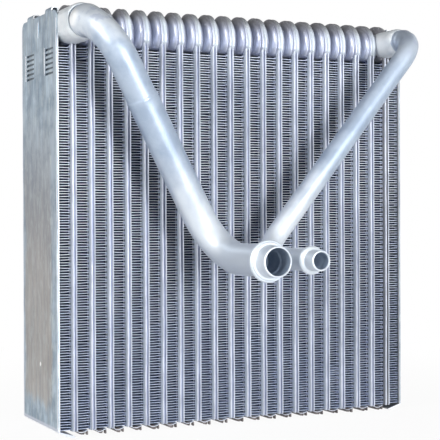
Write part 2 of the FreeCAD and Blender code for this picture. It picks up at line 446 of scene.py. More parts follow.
TUBE_METAL = aluminium(
    "tube_metal", (0.52, 0.56, 0.64), (0.66, 0.70, 0.78), 0.38,
    scale=90.0, grain=0.25, bump=0.08, metallic=0.35,
)
# Painted shade: near-black walls of the tubes deep in the gaps between the fins
WALL_SHADE_METAL = aluminium(
    "tube_wall_metal", (0.02, 0.03, 0.08), (0.045, 0.06, 0.14), 0.6,
    scale=90.0, grain=0.25, bump=0.08, metallic=0.0, shine=0.1,
)
CUP_METAL = aluminium(
    "cup_metal", (0.40, 0.43, 0.54), (0.50, 0.54, 0.65), 0.36,
    scale=70.0, bump=0.05, metallic=0.6, tone_or_painted_light=crown_painted_shade,
)
# Painted light: a paler copy of the cup metal for the cups' rims, the lit strips on the tube sides and the
# right plate's edge and flange
RIM_LIT_METAL = aluminium(
    "rim_painted_light", (0.54, 0.60, 0.68), (0.66, 0.72, 0.78), 0.42,
    scale=70.0, bump=0.05, metallic=0.35, tone_or_painted_light=crown_painted_shade,
)
FIN_METAL = aluminium(
    "fin_metal", (0.32, 0.39, 0.60), (0.42, 0.50, 0.74), 0.5,
    scale=50.0, grain=0.3, bump=0.06, metallic=0.0, tone_or_painted_light=slate_foot, shine=0.15,
)
# Painted shade: near-black fin faces behind the front and rear edges
DEEP_SHADE_METAL = aluminium(
    "deep_fin_painted_shade", (0.03, 0.045, 0.12), (0.06, 0.08, 0.19), 0.6,
    scale=50.0, grain=0.3, bump=0.06, metallic=0.0, shine=0.1,
)
# Painted highlight: pale copy of the fin metal on the folds at the fins' front and rear edges
BRIM_HIGHLIGHT_METAL = aluminium(
    "fin_edge_metal", (0.70, 0.77, 0.94), (0.86, 0.91, 1.0), 0.45,
    scale=50.0, grain=0.3, bump=0.06, metallic=0.1, tone_or_painted_light=slate_foot, shine=0.3,
)
PLATE_METAL = plate_aluminium()
# Painted highlight: near-white metal for the plates' rounded edges, ridges, flanges and cut ends
EDGE_HIGHLIGHT_METAL = aluminium(
    "edge_painted_highlight", (0.86, 0.89, 0.93), (0.95, 0.97, 1.0), 0.35, scale=120.0, grain=0.3, metallic=0.2,
)
PIPE_METAL = aluminium(
    "pipe_metal", (0.34, 0.42, 0.54), (0.43, 0.51, 0.62), 0.42,
    bump=0.2, metallic=0.45, tone_or_painted_light=elbow_painted_light,
)
NOZZLE_METAL = aluminium(
    "nozzle_metal", (0.70, 0.76, 0.80), (0.86, 0.89, 0.91), 0.42, grain=0.15, bump=0.25, metallic=0.15,
)
LIP_METAL = aluminium(
    "lip_metal", (0.06, 0.05, 0.052), (0.17, 0.15, 0.15), 0.5,
    scale=160.0, grain=0.5, bump=0.3, metallic=0.2, shine=0.3,
)
# Painted shade: dark metal inside the pipes' open ends
BORE_SHADE_METAL = aluminium(
    "bore_painted_shade", (0.18, 0.23, 0.31), (0.25, 0.31, 0.39), 0.6, scale=80.0, metallic=0.0, shine=0.1,
)
# Painted shade: dark metal for the leaves in the plate's slots
SLATE_SHADE_METAL = aluminium(
    "slot_leaf_painted_shade", (0.05, 0.07, 0.09), (0.11, 0.14, 0.17), 0.5, scale=80.0, metallic=0.4,
)
# Painted shade: dark metal for the sheet behind the slots
HOLE_SHADE_METAL = aluminium(
    "hole_painted_shade", (0.03, 0.04, 0.055), (0.07, 0.085, 0.11), 0.6, scale=80.0, metallic=0.4,
)

# Each piece's materials, and the numbers that its faces carry for them
TUBE_METALS = [TUBE_METAL, CUP_METAL, LIP_METAL, WALL_SHADE_METAL, RIM_LIT_METAL]
ON_TUBE, ON_CUP, ON_LIP, ON_WALL_SHADE, ON_RIM_LIGHT = range(5)
FIN_METALS = [FIN_METAL, DEEP_SHADE_METAL, BRIM_HIGHLIGHT_METAL]
ON_FIN, ON_DEEP_SHADE, ON_BRIM_HIGHLIGHT = range(3)
PIPE_METALS = [PIPE_METAL, BORE_SHADE_METAL]
ON_PIPE, ON_BORE_SHADE = range(2)
PLATE_METALS = [PLATE_METAL, EDGE_HIGHLIGHT_METAL, HOLE_SHADE_METAL, SLATE_SHADE_METAL, RIM_LIT_METAL]
ON_PLATE, ON_EDGE_HIGHLIGHT, ON_HOLE_SHADE, ON_SLATE_SHADE, ON_TRIM_LIGHT = range(5)


# Tubes with their cups and bottom lips

LIPS_PROUD = 0.9
LIPS_DEEP = 2.4


def edge_profile():
    """Front edge of a tube from above: two rounded plate lips and the groove of their seam."""
    half = [
        (1.8, 7.0), (1.8, 5.2), (1.8, 4.0), (1.8, 2.9), (1.77, 1.5), (1.68, 0.8), (1.5, 0.32),
        (1.25, 0.06), (1.0, 0.0), (0.78, 0.12), (0.6, 0.5), (0.48, 1.1), (0.3, 1.5),
    ]
    return [(-x, y) for x, y in half] + [(0, 1.6)] + [(x, y) for x, y in reversed(half)]


def tube_heights():
    """Close steps at the cut foot, even ones above, and two more inside the cup."""
    steps = 36
    heights = [0, 0.5, 1.2, 4]
    heights += [4 + (CORE - 8) * i / steps for i in range(1, steps + 1)]
    return heights + [CORE, CORE + 2.5, CORE + 5.5]


def tube_skin(skin, x, seed):
    """Flat tube whose lips stand proud of the core at the front and back, less at the cut foot."""
    edge = edge_profile()
    rows = []
    for height in tube_heights():
        forward = 0.5 * max(0.0, 1 - height / 1.2) - LIPS_PROUD
        sway = 0.14 * wobble(seed * 7.3, 1.0, height, 38)
        row = []
        for dx, dy in edge:
            weight = max(0, 1 - dy / LIPS_DEEP)
            shift = 0.1 * wobble(seed * 3.1 + dx, 5.0, height, 17) * weight
            row.append((x + dx + sway, dy + forward * weight + shift, height))
        for dx, dy in reversed(edge):
            weight = max(0, 1 - dy / LIPS_DEEP)
            row.append((x + dx, DEPTH - dy - forward * weight, height))
        rows.append(row)
    last = len(edge)
    # Steps of the tube's sides deep in the fin gaps take near-black painted shade, and steps near the lips
    # paler painted light
    dark = (0, 2, last - 4, last - 2, last - 1, last, last + 2, 2 * last - 4, 2 * last - 2, 2 * last - 1)
    pale = (1, 3, 4, last - 3, last - 5, last - 6)
    groove = range(10, 16)

    def mark(row, step):
        if step in dark:
            return ON_WALL_SHADE
        if step in pale:
            return ON_RIM_LIGHT
        return ON_CUP if step in groove else ON_TUBE

    skin.add(rows, mark)


def cup_side():
    """Front cup seen from the side, as depth and height: a round top and two rounded toes."""
    toe_height = CUP_FLOOR + TOE
    rise = toe_height - CUP_HEIGHT
    reach = math.sqrt(CUP_RADIUS ** 2 - rise ** 2)
    low = math.atan2(rise, reach)
    steps = 52
    toe_steps = 12
    quarter = math.pi / 2
    points = []
    for i in range(steps + 1):
        a = math.pi - low - (math.pi - 2 * low) * i / steps
        points.append((CUP_DEPTH + CUP_RADIUS * math.cos(a), CUP_HEIGHT + CUP_RADIUS * math.sin(a)))
    for side in (1, -1):
        centre = CUP_DEPTH + side * (reach - TOE)
        for i in range(1, toe_steps + 1):
            a = -quarter * i / toe_steps if side > 0 else -quarter - quarter * (i - 1) / toe_steps
            points.append((centre + TOE * math.cos(a), toe_height + TOE * math.sin(a)))
    return points


# Half of a cup's section: across from the seam, and out from the side outline
CUP_SECTION = [
    (0, -0.6), (0.3, -0.45), (0.6, -0.12), (0.95, 0.0), (1.4, 0.0), (1.75, -0.1), (1.98, -0.4),
    (2.1, -1.0), (2.22, -1.7), (2.45, -1.9), (2.7, -1.7), (2.95, -1.78), (3.2, -1.98), (3.5, -2.3),
    (3.9, -2.8), (4.3, -3.35), (4.7, -4.0), (5.1, -4.8), (5.4, -5.5), (5.65, -6.3), (5.8, -7.0),
    (5.88, -7.6),
]
# The rim: its rows, half width, foot and depth beside the tube, and how much the floor stays level
RIM_ROWS = range(17, 27)
RIM_HALF = 2.15
RIM_END = 237.4
RIM_SUNK = 1.1
FLOOR_HELD = 0.88


def cup_skin(skin, x, rear, seed):
    """Cup with a rim at the seam, which sinks behind the tube's lips below its end."""
    side = cup_side()
    section = [(-dx, out) for dx, out in reversed(CUP_SECTION[1:])] + CUP_SECTION
    rows = []
    for dx, out in section:
        row = []
        for depth, height in side:
            dent = 0.12 * wobble(seed + dx * 0.3, depth, height, 9)
            sunk = RIM_SUNK if abs(dx) < RIM_HALF and height < RIM_END and depth < 4 else 0.0
            scale = (CUP_RADIUS + out + dent - sunk) / CUP_RADIUS
            below = min(1, max(0, (CUP_HEIGHT - height) / 6))
            d = CUP_DEPTH + (depth - CUP_DEPTH) * scale
            h = CUP_HEIGHT + (height - CUP_HEIGHT) * (scale + (1 - scale) * FLOOR_HELD * below)
            row.append((x + dx, DEPTH - d if rear else d, h))
        rows.append(row[::-1] if rear else row)
    # The rim rows take the paler metal, a painted highlight
    skin.add(rows, lambda i, j: ON_RIM_LIGHT if i in RIM_ROWS else ON_CUP, ON_CUP)


def lip_skin(skin, x, rng):
    """Foot turned out to the right: a bright rim, a dark scoop under the fin and a small tab."""
    left = rng.uniform(1.9, 2.6)
    right = rng.uniform(5.6, 6.4)
    low = rng.uniform(-3.1, -2.5)
    tilt = rng.uniform(-0.3, 0.3)
    scoop = [
        (left, -0.5), (left + 0.2, -1.4), (left + 1.0, low + 0.5 + tilt), (left + 2.2, low + 0.1),
        (right - 0.4, low), (right, low + 0.5), (right, -0.9), (right - 0.8, -0.3), (left + 1.6, -0.15),
    ]
    rows = []
    for depth, scale in ((0.9, 0.92), (1.3, 1.0), (8, 1.0), (34, 1.0), (62, 1.0), (68.5, 0.92)):
        rows.append([(x + dx, depth, z * scale) for dx, z in scoop])
    skin.add(rows, ON_LIP)
    tab = rng.uniform(6.9, 7.4)
    tip = rng.uniform(-3.1, -2.6)
    foot = [
        (tab, -0.1), (tab + 0.1, tip + 0.3), (tab + 0.3, tip), (tab + 0.9, tip), (tab + 1.1, tip + 0.4),
        (tab + 1.0, -0.1),
    ]
    skin.add([[(x + dx, depth, z) for dx, z in foot] for depth in (0.7, 1.9, 3.0)], ON_LIP)
    swell = rng.uniform(0.2, 0.7)
    rim = [
        (0.2, 0.15), (1.6, -0.25), (3.0, -0.5 - swell), (4.6, -0.6 - swell), (6.4, -0.45 - 0.3 * swell),
        (8.3, 0.05),
    ]
    rows = []
    for depth in (0.3, 0.7, 3.5, 12.0):
        upper = [(x + dx, depth, z + 0.22) for dx, z in rim]
        rows.append(upper + [(x + dx, depth, z - 0.12) for dx, z in reversed(rim)])
    skin.add(rows, ON_TUBE)


def build_tube(number):
    x = tube_x(number)
    skin = Skin()
    tube_skin(skin, x, number)
    cup_skin(skin, x, False, number * 5.0)
    cup_skin(skin, x, True, number * 5.0 + 2.5)
    if number < TUBES:
        lip_skin(skin, x, random.Random(number * 17))
    name = "tube_%02d" % number
    piece(name + "_shape", skin, TUBE_METALS, [name], 50)


# Fins

# Bruised places: the fin's number, their height and spread, and how far folds are pushed
BRUISES = [
    (6, 205, 9, 0.55), (7, 196, 6, 0.5), (9, 192, 7, 0.4), (14, 60, 7, 0.35), (3, 40, 8, 0.3),
    (17, 30, 10, 0.5), (2, 226, 8, 0.5),
]
FIN_LEGS = 146
FIN_RECESS = 2.2
FIN_BRIM = 3.5
BRIM_HALF = 0.16
FIN_HALF = 0.09
FIN_CLEARANCE = 0.02
FOLD_POINTS = 7


def bruise(number, height):
    hurt = 0.0
    for bruised, middle, spread, amount in BRUISES:
        if bruised == number:
            hurt += amount * math.exp(-((height - middle) / spread) ** 2)
    return hurt


def fold_lines(number, rng):
    """The folded strip's line across and up, at its uneven front edge and behind it."""
    left = tube_x(number) - PITCH + TUBE / 2
    right = left + GAP
    legs = FIN_LEGS + rng.choice((-1, 0, 1))
    front = []
    behind = []
    for i in range(legs + 1):
        base = i * CORE / legs
        drift = 0.22 * wobble(number * 3.7, 2.0, base, 24)
        jitter = rng.uniform(-0.13, 0.13) + rng.uniform(-1, 1) * bruise(number, base)
        edge = right if i % 2 else left
        inward = -1 if i % 2 else 1
        reach = rng.uniform(0.0, 0.08)
        bend = [
            (0.8, -0.75), (0.3, -0.7), (0.05, -0.42), (reach * 0.5, 0.0), (0.05, 0.42), (0.3, 0.7),
            (0.8, 0.75),
        ]
        for dx, dz in bend:
            x = edge + inward * (dx + FIN_CLEARANCE)
            z = min(max(base + drift + dz, 0.1), CORE - 0.1)
            front.append((x, min(max(z + jitter, 0.1), CORE - 0.1)))
            behind.append((x, z))
    return front, behind


def fin_skin(skin, number):
    """Folded strip with a thicker brim at its front and back edges; its folds there are painted pale as
    highlights and the span between them dark as painted shade.
    """
    rng = random.Random(number * 31)
    front, behind = fold_lines(number, rng)
    start = FIN_RECESS + 0.2 * rng.random()
    rear = DEPTH - FIN_RECESS
    stations = [
        (front, start, BRIM_HALF), (behind, start + FIN_BRIM, FIN_HALF),
        (behind, rear - FIN_BRIM, FIN_HALF), (behind, rear, BRIM_HALF),
    ]
    base = len(skin.verts)
    for line, depth, half in stations:
        skin.verts.extend((x, depth, z + half) for x, z in line)
        skin.verts.extend((x, depth, z - half) for x, z in reversed(line))
    half_row = len(front)
    n = 2 * half_row
    for i in range(len(stations) - 1):
        for j in range(n):
            k = (j + 1) % n
            a = base + i * n
            b = a + n
            # Folds near the front and rear get painted highlights; the middle span takes near-black
            # painted shade
            turn = (j if j < half_row else n - 2 - j) % FOLD_POINTS
            brim = ON_BRIM_HIGHLIGHT if turn in (2, 3) else ON_FIN
            skin.face((a + j, b + j, b + k, a + k), ON_DEEP_SHADE if i == 1 else brim)
    for i in (0, len(stations) - 1):
        a = base + i * n
        for j in range(half_row - 1):
            quad = (a + j, a + j + 1, a + n - 2 - j, a + n - 1 - j)
            # Crest faces of the end caps take the painted highlight
            crest = j % FOLD_POINTS in (0, 5, 6)
            skin.face(quad if i == 0 else quad[::-1], ON_BRIM_HIGHLIGHT if crest else ON_FIN)


def build_fin(number):
    skin = Skin()
    fin_skin(skin, number)
    name = "fin_%02d" % number
    piece(name + "_shape", skin, FIN_METALS, [name], 35)


# Pipes and nozzles

STRAIGHT_STEP = 6
LAST_STEP = 5
TURN_STEP = 3.5
BORE_SHOWN = 11.0


def bend_path(points, radius, extra):
    """Points and directions along straight runs joined by round bends, with extra stops by length."""
    path = []
    here = points[0]
    for before, corner, after in zip(points, points[1:], points[2:]):
        inward = (before - corner).normalized()
        outward = (after - corner).normalized()
        turn = math.pi - inward.angle(outward)
        cut = radius * math.tan(turn / 2)
        first = corner + inward * cut
        centre = corner + (inward + outward).normalized() * (radius / math.cos(turn / 2))
        axis = (first - centre).cross(corner - centre).normalized()
        count = max(2, round((first - here).length / STRAIGHT_STEP))
        for i in range(count):
            path.append((here.lerp(first, i / count), -inward))
        count = max(10, round(math.degrees(turn) / TURN_STEP))
        for i in range(count):
            spin = Matrix.Rotation(turn * i / count, 3, axis)
            path.append((centre + spin @ (first - centre), spin @ -inward))
        here = corner + outward * cut
    last = (points[-1] - here).normalized()
    count = max(2, round((points[-1] - here).length / LAST_STEP))
    for i in range(count + 1):
        path.append((here.lerp(points[-1], i / count), last))
    lengths = [0.0]
    for (a, _), (b, _) in zip(path, path[1:]):
        lengths.append(lengths[-1] + (b - a).length)
    for stop in extra:
        i = max(k for k, length in enumerate(lengths) if length < stop)
        share = (stop - lengths[i]) / (lengths[i + 1] - lengths[i])
        path.insert(i + 1, (path[i][0].lerp(path[i + 1][0], share), path[i][1]))
        lengths.insert(i + 1, stop)
    return path


def sweep(path, radius_at, segments):
    """Rings along a path; radius_at gives the radius for a length along it and an angle."""
    rows = []
    travelled = 0.0
    side = path[0][1].orthogonal().normalized()
    for i, (centre, direction) in enumerate(path):
        if i:
            travelled += (centre - path[i - 1][0]).length
        side = (side - direction * side.dot(direction)).normalized()
        up = direction.cross(side)
        row = []
        for j in range(segments):
            a = 2 * math.pi * j / segments
            r = radius_at(travelled, a)
            p = centre + side * (r * math.cos(a)) + up * (r * math.sin(a))
            row.append((p.x, p.y, p.z))
        rows.append(row)
    return rows


def hollow(rows, x, share):
    """Rows with the last ring turned inward to a bore of the given share."""
    z = SPIGOT_HEIGHT
    ring = [(x + (px - x) * share, py, z + (pz - z) * share) for px, py, pz in rows[-1]]
    return rows + [ring, [(px, py + BORE_SHOWN, pz) for px, py, pz in ring]]


def lathe_rows(x, height, profile, segments):
    """Rings round a line along the depth, from radii and depths."""
    rows = []
    for r, depth in profile:
        row = []
        for j in range(segments):
            a = 2 * math.pi * j / segments
            row.append((x + r * math.cos(a), depth, height + r * math.sin(a)))
        rows.append(row)
    return rows


def ripple(length, angle, reach, size):
    """Smooth noise over a pipe's skin."""
    return wobble(length, math.cos(angle) * reach, math.sin(angle) * reach, size)


def bell(length, middle, spread):
    return math.exp(-((length - middle) / spread) ** 2)


def pipe_route(x, start, elbow, spigot_x, turn, end):
    """Corners of a pipe from its collar down to its spigot."""
    return [
        Vector((x, start, NOZZLE_HEIGHT)), Vector((x, elbow, NOZZLE_HEIGHT)),
        Vector((spigot_x, turn, SPIGOT_HEIGHT)), Vector((spigot_x, end, SPIGOT_HEIGHT)),
    ]


def build_pipe(node, spigot_x, rows, bore_share, profile, bore_start, segments):
    """Swept pipe with an open end, and its beaded spigot turned from a closed profile."""
    skin = Skin()
    swept = len(rows)
    rows = hollow(rows, spigot_x, bore_share)
    # The open end and the spigot's inside take the dark painted shade
    skin.add(rows, lambda i, j: ON_BORE_SHADE if i >= swept - 1 else ON_PIPE, ON_BORE_SHADE)
    inner = profile.index(bore_start)
    spigot = lathe_rows(spigot_x, SPIGOT_HEIGHT, profile, segments)
    skin.add(spigot, lambda i, j: ON_BORE_SHADE if i >= inner else ON_PIPE, ring=True)
    piece(node + "_shape", skin, PIPE_METALS, [node], 50)


def build_suction_pipe():
    back = MOUTH + 13.6
    swage = 69.5
    route = pipe_route(tube_x(1), -17.5, -48.8, SUCTION_X, -31.2, back)
    stops = [0.7, 1.1, 1.5, 1.9, 2.4, 3.0, 3.6, 4.3, 5.0, 5.7, 7.0]
    stops += [swage - 1.5, swage - 0.5, swage, swage + 0.6, swage + 1.4, swage + 2.6]

    def radius_at(length, angle):
        """Swollen beyond the collar, and a little wider with a lip from the swage on."""
        wide = 9.5 - 0.4 / (1 + math.exp((length - swage) / 0.35))
        lip = 0.22 * bell(length, swage + 0.9, 0.8)
        flare = 1.0 * bell(length, 6.0, 5.0) - 0.5 * bell(length, 0.0, 2.4)
        return wide + lip + flare + 0.07 * ripple(length, angle, 14, 22)

    rows = sweep(bend_path(route, 27.5, stops), radius_at, 48)
    bore_start = (7.8, MOUTH + 0.7)
    profile = [
        (9.3, back + 6), (9.3, back + 0.5), (9.9, back + 0.1), (11.2, back - 0.2), (11.9, back - 0.7),
        (12.2, back - 1.6), (12.2, back - 2.4), (11.95, back - 3.1), (11.6, back - 3.35),
        (11.2, back - 3.2), (10.95, back - 3.4), (10.7, back - 3.9), (10.3, back - 4.1),
        (9.8, back - 4.0), (9.25, back - 4.3), (9.0, back - 5.2), (9.0, MOUTH + 1.0),
        (8.85, MOUTH + 0.3), (8.55, MOUTH), (8.05, MOUTH), (7.85, MOUTH + 0.25), bore_start,
        (7.8, MOUTH + 10.0), (7.6, MOUTH + 10.5), (7.05, MOUTH + 10.9), (6.95, MOUTH + 11.6),
        (6.95, MOUTH + 24), (7.2, MOUTH + 24), (7.2, back + 6),
    ]
    build_pipe("suction_pipe", SUCTION_X, rows, 0.9, profile, bore_start, 48)


def build_liquid_pipe():
    back = MOUTH + 13.0
    route = pipe_route(tube_x(TUBES), -14.0, -37.2, LIQUID_X, -34.4, back)
    stops = [1.2, 2.4, 3.3, 3.9, 4.4, 4.9, 5.4, 6.1, 7.0, 8.2]

    def radius_at(length, angle):
        """Lumpy fillet at the collar, with a faint groove in it."""
        flare = 1.5 * bell(length, 0.0, 9.0) - 0.2 * bell(length, 4.6, 0.9)
        lump = 0.35 * bell(length, 0.0, 16.0) * ripple(length * 2.0, angle, 9, 5)
        return 6.6 + flare + lump + 0.05 * ripple(length, angle, 14, 18)

    rows = sweep(bend_path(route, 19.0, stops), radius_at, 40)
    bore_start = (4.8, MOUTH + 0.7)
    profile = [
        (6.5, back + 5), (6.5, back + 0.4), (7.1, back + 0.1), (7.9, back - 0.2), (8.3, back - 0.8),
        (8.35, back - 1.6), (8.3, back - 2.5), (7.9, back - 3.2), (7.0, back - 3.6), (6.2, back - 3.9),
        (6.0, back - 4.5), (6.0, MOUTH + 0.9), (5.88, MOUTH + 0.25), (5.65, MOUTH), (5.1, MOUTH),
        (4.9, MOUTH + 0.25), bore_start, (4.8, MOUTH + 5.5), (4.6, MOUTH + 5.9), (4.3, MOUTH + 6.2),
        (4.3, MOUTH + 23.5), (4.6, MOUTH + 23.5), (4.6, back + 5),
    ]
    build_pipe("liquid_pipe", LIQUID_X, rows, 0.82, profile, bore_start, 40)


def build_suction_nozzle():
    """Collar merged into the pipe all round, apart from an open groove at its upper left."""
    x = tube_x(1)
    segments = 56
    profile = [
        (8.9, -17.2), (9.7, -17.3), (9.9, -19.1), (10.2, -19.5), (10.6, -19.5), (10.95, -19.0),
        (11.15, -17.8), (11.3, -16.4), (11.3, -14), (11.3, -6), (11.3, -1), (11.3, 8), (11.0, 10), (4, 12),
    ]
    merged_radii = (8.6, 8.9, 9.2, 9.6, 10.0, 10.4, 10.9)
    rows = lathe_rows(x, NOZZLE_HEIGHT, profile, segments)
    for j in range(segments):
        shut = 1 - bell(360 * j / segments, 150, 45)
        a = 2 * math.pi * j / segments
        for i, merged in enumerate(merged_radii):
            open_radius, depth = profile[i]
            r = open_radius + (merged - open_radius) * shut
            sink = 2.0 * shut if i < 2 else 0.0
            rows[i][j] = (x + r * math.cos(a), depth - sink, NOZZLE_HEIGHT + r * math.sin(a))
    skin = Skin()
    skin.add([[(max(px, LEFT_PLATE_X), py, pz) for px, py, pz in row] for row in rows])
    piece("suction_nozzle_shape", skin, [NOZZLE_METAL], ["suction_nozzle"], 50)


def build_liquid_nozzle():
    profile = [
        (6.5, -17.4), (7.9, -17.4), (8.15, -17.0), (8.45, -16.2), (8.8, -15), (9.0, -13.5), (9.0, -11),
        (9.0, -6), (9.0, -1), (9.0, 8), (8.6, 10), (3, 12),
    ]
    skin = Skin()
    skin.add(lathe_rows(tube_x(TUBES), NOZZLE_HEIGHT, profile, 48))
    piece("liquid_nozzle_shape", skin, [NOZZLE_METAL], ["liquid_nozzle"], 50)


# End plates


def outline_curve(outlines, thickness, bevel):
    """Flat sheet with holes and softened edges, as points (depth, height, across) and faces."""
    curve = bpy.data.curves.new("sheet_outline", "CURVE")
    curve.dimensions = "2D"
    curve.fill_mode = "BOTH"
    curve.extrude = thickness / 2 - bevel
    curve.bevel_depth = bevel
    curve.bevel_resolution = 2
    curve.offset = -bevel
    for outline in outlines:
        spline = curve.splines.new("POLY")
        spline.points.add(len(outline) - 1)
        for place_on, (u, w) in zip(spline.points, outline):
            place_on.co = (u, w, 0, 1)
        spline.use_cyclic_u = True
    holder = bpy.data.objects.new("sheet_outline", curve)
    bpy.context.scene.collection.objects.link(holder)
    bpy.context.view_layer.update()
    mesh = bpy.data.meshes.new_from_object(holder.evaluated_get(bpy.context.evaluated_depsgraph_get()))
    verts = [tuple(vertex.co) for vertex in mesh.vertices]
    faces = [tuple(polygon.vertices) for polygon in mesh.polygons]
    bpy.data.objects.remove(holder)
    bpy.data.curves.remove(curve)
    bpy.data.meshes.remove(mesh)
    return verts, faces


def even_line(a, b):
    """Points about 5 mm apart from a up to b, without b itself."""
    count = max(1, round(math.dist(a, b) / 5.0))
    return [(a[0] + (b[0] - a[0]) * i / count, a[1] + (b[1] - a[1]) * i / count) for i in range(count)]


def arc(centre, radius, start, end, count):
    points = []
    for i in range(count + 1):
        a = math.radians(start + (end - start) * i / count)
        points.append((centre[0] + radius * math.cos(a), centre[1] + radius * math.sin(a)))
    return points


def plate_outline():
    """The plate seen from the side, with a low step under each tab."""
    foot = 0.2
    shoulder = PLATE_TOP - 6.0
    points = arc((CORNER, PLATE_TOP - CORNER), CORNER, 180, 90, 7)
    for start in TAB_STARTS:
        end = start + TAB_WIDTH
        points += [(start - 1.0, PLATE_TOP), (start - 0.2, PLATE_TOP + 0.4)]
        points += [(end + 0.2, PLATE_TOP + 0.4), (end + 1.0, PLATE_TOP)]
    points += arc((DEPTH - CORNER, PLATE_TOP - CORNER), CORNER, 90, 0, 7)
    points += even_line((DEPTH, shoulder), (DEPTH, foot))
    points += even_line((DEPTH, foot), (0.0, foot))
    points += even_line((0.0, foot), (0.0, shoulder))
    return points


def slot_low(row):
    return SLOT_TOP - row * SLOT_PITCH - SLOT_HEIGHT


def slot_outlines():
    holes = []
    for start, end in SLOT_SPANS:
        for row in range(SLOT_ROWS):
            low = slot_low(row)
            holes.append([
                (start, low + 0.2), (end - 0.7, low - 0.15), (end, low + 0.25), (end, low + 1.1),
                (end - 0.7, low + SLOT_HEIGHT), (start, low + 1.3),
            ])
    return holes


def facing(rows, outward):
    """Rows with their points turned round on the side that looks to the left."""
    return rows if outward > 0 else [row[::-1] for row in rows]


def fold_strip(skin, path, start, width, half, steps=6, mark=ON_PLATE):
    """Bent strip of sheet with its section path in X and height, along the depth."""
    normals = []
    for i in range(len(path)):
        a = path[max(i - 1, 0)]
        b = path[min(i + 1, len(path) - 1)]
        along = Vector((b[0] - a[0], b[1] - a[1])).normalized()
        normals.append(Vector((-along.y, along.x)))
    rows = []
    for i in range(steps + 1):
        depth = start + width * i / steps
        outer = [(p[0] + n.x * half, depth, p[1] + n.y * half) for p, n in zip(path, normals)]
        inner = [(p[0] - n.x * half, depth, p[1] - n.y * half) for p, n in zip(path, normals)]
        rows.append(outer + inner[::-1])
    # The strip's cut ends take the near-white painted highlight
    skin.add(rows, mark, ON_EDGE_HIGHLIGHT)


def bulge_row(face, outward, depth, half, tall, z):
    """Half-round section across the depth, proud of the plate's face."""
    row = []
    for j in range(7):
        a = math.pi * j / 6
        row.append((face + outward * (tall * math.sin(a) - 0.05), depth - half * math.cos(a), z))
    return row


def sheet_skin(skin, middle, outward, seed):
    """Slotted sheet, bowed a little and uneven along its rear edge."""
    verts, faces = outline_curve([plate_outline()] + slot_outlines(), SHEET, 0.14)
    for u, w, across in verts:
        if u > 60:
            u += min(1, max(0, (u - 40) / 30)) * 0.28 * wobble(seed, 3.0, w, 16)
        bow = 0.06 * wobble(seed + 4, u, w, 30)
        skin.verts.append((middle + across * outward + bow, u, w))
    for face in faces:
        skin.face(face if outward > 0 else face[::-1])


def tab_skin(skin, middle, outward, start):
    """Tab that rises from the plate and rolls over towards the cups."""
    path = [(middle, PLATE_TOP - 1.0), (middle, TAB_TOP - 2.0)]
    for i in range(1, 7):
        a = math.radians(180 - 15 * i)
        path.append((middle - outward * (1.6 + 1.6 * math.cos(a)), TAB_TOP - 2.0 + 1.6 * math.sin(a)))
    for i in range(7):
        a = math.radians(90 - 15 * i)
        path.append((middle - outward * (2.5 + 1.4 * math.cos(a)), TAB_TOP - 1.8 + 1.4 * math.sin(a)))
    path.append((middle - outward * 3.9, TAB_TOP - 3.0))
    path.append((middle - outward * 3.6, TAB_TOP - 3.7))
    fold_strip(skin, path if outward > 0 else path[::-1], start, TAB_WIDTH, 0.45)


def leaf_rows(face, outward, start, end, low):
    """Strip of sheet in a slot, pressed further in towards the back."""
    rows = []
    for i in range(7):
        u = start - 0.4 + (end - start - 2.4) * i / 6
        z = low + 0.2 - 0.35 * i / 6
        x = face - outward * (0.1 + 0.55 * i / 6)
        rows.append([
            (x, u, z - 0.3), (x + outward * 0.1, u, z + 1.0), (x + outward * 0.02, u, z + 1.5),
            (x - outward * 0.3, u, z + 1.5), (x - outward * 0.3, u, z - 0.3),
        ])
    return rows


def slot_skin(skin, inner, outward, start, end):
    """A column of slots: their leaves and the sheet behind them, dark as painted shade, and a low ridge
    beside them with a painted highlight.
    """
    face = inner + outward * SHEET
    # The leaves take dark metal, a painted shade
    for row in range(SLOT_ROWS):
        skin.add(facing(leaf_rows(face, outward, start, end, slot_low(row)), outward), ON_SLATE_SHADE)
    near = inner + outward * 0.02
    far = inner - outward * 0.1
    # Dark sheet behind the slots, a painted shade
    back = [(near, 214.0), (near, 235.5), (far, 235.5), (far, 214.0)]
    skin.add([[(px, u, pz) for px, pz in back] for u in (start - 1.0, end + 1.5)], ON_HOLE_SHADE)
    ridge = []
    for i in range(9):
        tall = 0.25 * math.sin(math.pi * (0.06 + 0.88 * i / 8)) ** 0.5
        ridge.append(bulge_row(face, outward, end + 1.7, 0.75, tall, 216.6 + 17.2 * i / 8))
    # The ridge takes the near-white painted highlight
    skin.add(facing(ridge, outward), ON_EDGE_HIGHLIGHT)


def rim_skin(skin, inner, outward, seed):
    """Rounded front edge of the sheet, swaying a little up its height."""
    outer = inner + outward * SHEET
    section = [
        (outer, 1.5), (outer + outward * 0.14, 0.9), (outer + outward * 0.05, 0.35),
        (outer - outward * 0.4, 0.06), (inner - outward * 0.35, 0.1), (inner - outward * 0.6, 0.5),
        (inner - outward * 0.5, 1.1), (inner, 1.4),
    ]
    rows = []
    for i in range(41):
        z = 0.3 + (PLATE_TOP - 5.6) * i / 40
        sway = 0.06 * wobble(seed + 9, 0.0, z, 14)
        rows.append([(px + sway, py, z) for px, py in section])
    # The edge is painted near-white on the left plate and paler on the right, as painted highlights
    skin.add(facing(rows, -outward), ON_EDGE_HIGHLIGHT if outward < 0 else ON_TRIM_LIGHT)


def rib_skin(skin, face, outward):
    """Upright bead, tall in its middle and pale on its lit flank."""
    rows = []
    for i in range(9):
        tall = 0.8 * math.sin(math.pi * i / 8) ** 0.4
        rows.append(bulge_row(face, outward, RIB_DEPTH, 0.4 + 1.2 * tall, tall, 241.0 + 11.0 * i / 8))
    skin.add(facing(rows, outward), lambda i, j: ON_EDGE_HIGHLIGHT if j in (2, 3) else ON_PLATE)


